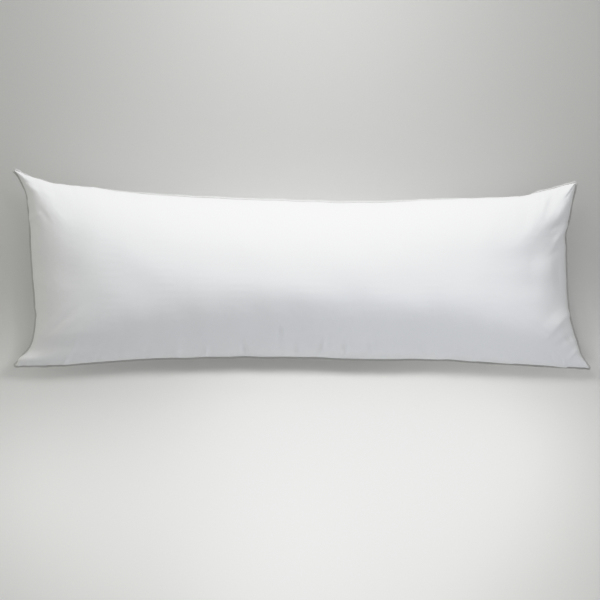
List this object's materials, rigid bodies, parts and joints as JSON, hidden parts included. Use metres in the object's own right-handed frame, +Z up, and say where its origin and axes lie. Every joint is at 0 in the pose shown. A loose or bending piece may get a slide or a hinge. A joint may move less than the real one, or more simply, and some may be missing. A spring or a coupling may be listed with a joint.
{
  "type": "body pillow",
  "caption": "Long stuffed sleeping pillow with drawn-in sides, pointed corner ears and a fine corded edge sewn round its seam, lying on its back.",
  "frame": {"origin": "on the surface that the pillow lies on, under the middle of its outline", "axes": "+X along the pillow, +Y across it towards the far long side, +Z up out of its face"},
  "size_m": [1.3285, 0.4626, 0.2455],
  "materials": {
    "cotton_cover": "close plain-woven white cotton, matt with a faint sheen",
    "cotton_cord": "cord in a sleeve of the same white cotton, gathered finely along its length"
  },
  "bodies": {
    "root": {"pillow_body": "cotton_cover", "corded_edge": "cotton_cord"}
  },
  "joints": []
}
